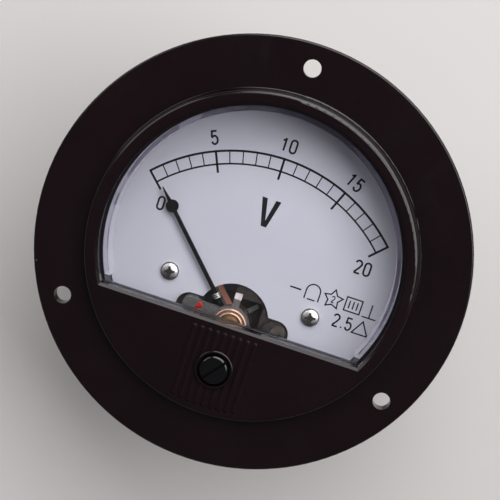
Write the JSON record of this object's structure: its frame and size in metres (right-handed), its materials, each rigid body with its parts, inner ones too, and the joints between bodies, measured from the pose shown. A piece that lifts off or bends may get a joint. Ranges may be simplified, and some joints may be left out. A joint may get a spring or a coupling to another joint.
{
  "type": "analog panel meter",
  "caption": "Round flush-mounting moving-coil panel meter: black flange, clear D-shaped window, white arc dial, zero adjuster and rear stud terminals.",
  "frame": {"origin": "centre of the flange's rear face, the face that lies on the panel", "axes": "+Z out of the dial towards the reader, +Y up the panel to 12 o'clock, +X to the reader's right"},
  "size_m": [0.09, 0.09, 0.0521],
  "materials": {
    "black_phenolic": "polished black moulding",
    "black_knob": "glossy black moulding",
    "clear_acrylic": "clear moulded acrylic",
    "case_black": "satin black moulding",
    "dial_white": "satin white paint on aluminium",
    "nickel_plate": "bright nickel plate",
    "zinc_plate": "dull zinc plate",
    "spring_steel": "dull spring steel",
    "brown_phenolic": "dark brown moulding",
    "grey_alloy": "grey pressed alloy",
    "black_aluminium": "black paint on thin aluminium",
    "bare_aluminium": "thin bare aluminium",
    "copper_bush": "rolled copper alloy",
    "brass": "turned brass",
    "hair_bronze": "fine bronze strip",
    "hard_steel": "ground hard steel",
    "copper_wire": "enamelled copper wire",
    "magnet_alloy": "ground magnet alloy",
    "soft_iron": "plated soft iron",
    "tinned_wire": "tinned copper wire",
    "resistor_coat": "lacquered ceramic",
    "wire_sleeve": "black sleeving"
  },
  "bodies": {
    "housing": {"front_bezel": "black_phenolic", "window": "clear_acrylic", "rear_case": "case_black", "case_screws": "zinc_plate", "dial_plate": "dial_white", "dial_screws": "nickel_plate", "dial_washers": "zinc_plate", "movement_frame": "brown_phenolic", "front_bridge": "grey_alloy", "bridge_screws": "nickel_plate", "bearing_bush": "copper_bush", "jewel_screw_front": "brass", "hairspring_rear": "hair_bronze", "spring_tag_rear": "nickel_plate", "magnet_core": "magnet_alloy", "core_cap": "brown_phenolic", "core_screws": "zinc_plate", "yoke_ring": "soft_iron", "movement_screws": "zinc_plate", "movement_base": "brown_phenolic", "rear_bridge": "grey_alloy", "rear_bridge_screws": "zinc_plate", "jewel_screw_rear": "brass", "lead_tag": "nickel_plate", "lead_tag_screw": "nickel_plate", "terminal_studs": "brass", "stud_tags": "nickel_plate", "clamp_washers": "nickel_plate", "clamp_nuts": "brass", "solder_lugs": "tinned_wire", "flat_washers": "nickel_plate", "spring_washers": "spring_steel", "terminal_nuts": "brass", "multiplier_resistor": "resistor_coat", "resistor_leads": "tinned_wire", "front_lead": "wire_sleeve"},
    "moving_system": {"pointer": "black_aluminium", "pointer_hub": "brass", "pivot_front": "hard_steel", "balance_weights": "tinned_wire", "balance_arms": "grey_alloy", "coil_winding": "copper_wire", "coil_former": "bare_aluminium", "pivot_rear": "hard_steel"},
    "zero_screw": {"zero_adjuster": "black_knob", "adjuster_clip": "spring_steel"},
    "zero_lever": {"zero_lever": "nickel_plate", "hairspring_front": "hair_bronze"}
  },
  "joints": [
    {"name": "pointer_swing", "type": "hinge", "parent": "housing", "child": "moving_system", "pos_m": [0, -0.0158, 0], "axis": [0, 0, -1], "range_deg": [-3.5, 91.5], "stiffness_Nm_per_rad": 0.000025},
    {"name": "zero_adjust", "type": "hinge", "parent": "housing", "child": "zero_screw", "pos_m": [0, -0.024, 0], "axis": [0, 0, 1], "range_deg": [-40, 40]},
    {"name": "zero_lever_swing", "type": "hinge", "parent": "housing", "child": "zero_lever", "pos_m": [0, -0.0158, 0], "axis": [0, 0, 1], "range_deg": [-6, 6]}
  ],
  "couplings": [
    {"joint": "zero_lever_swing", "follows": "zero_adjust", "ratio": 0.14136}
  ]
}
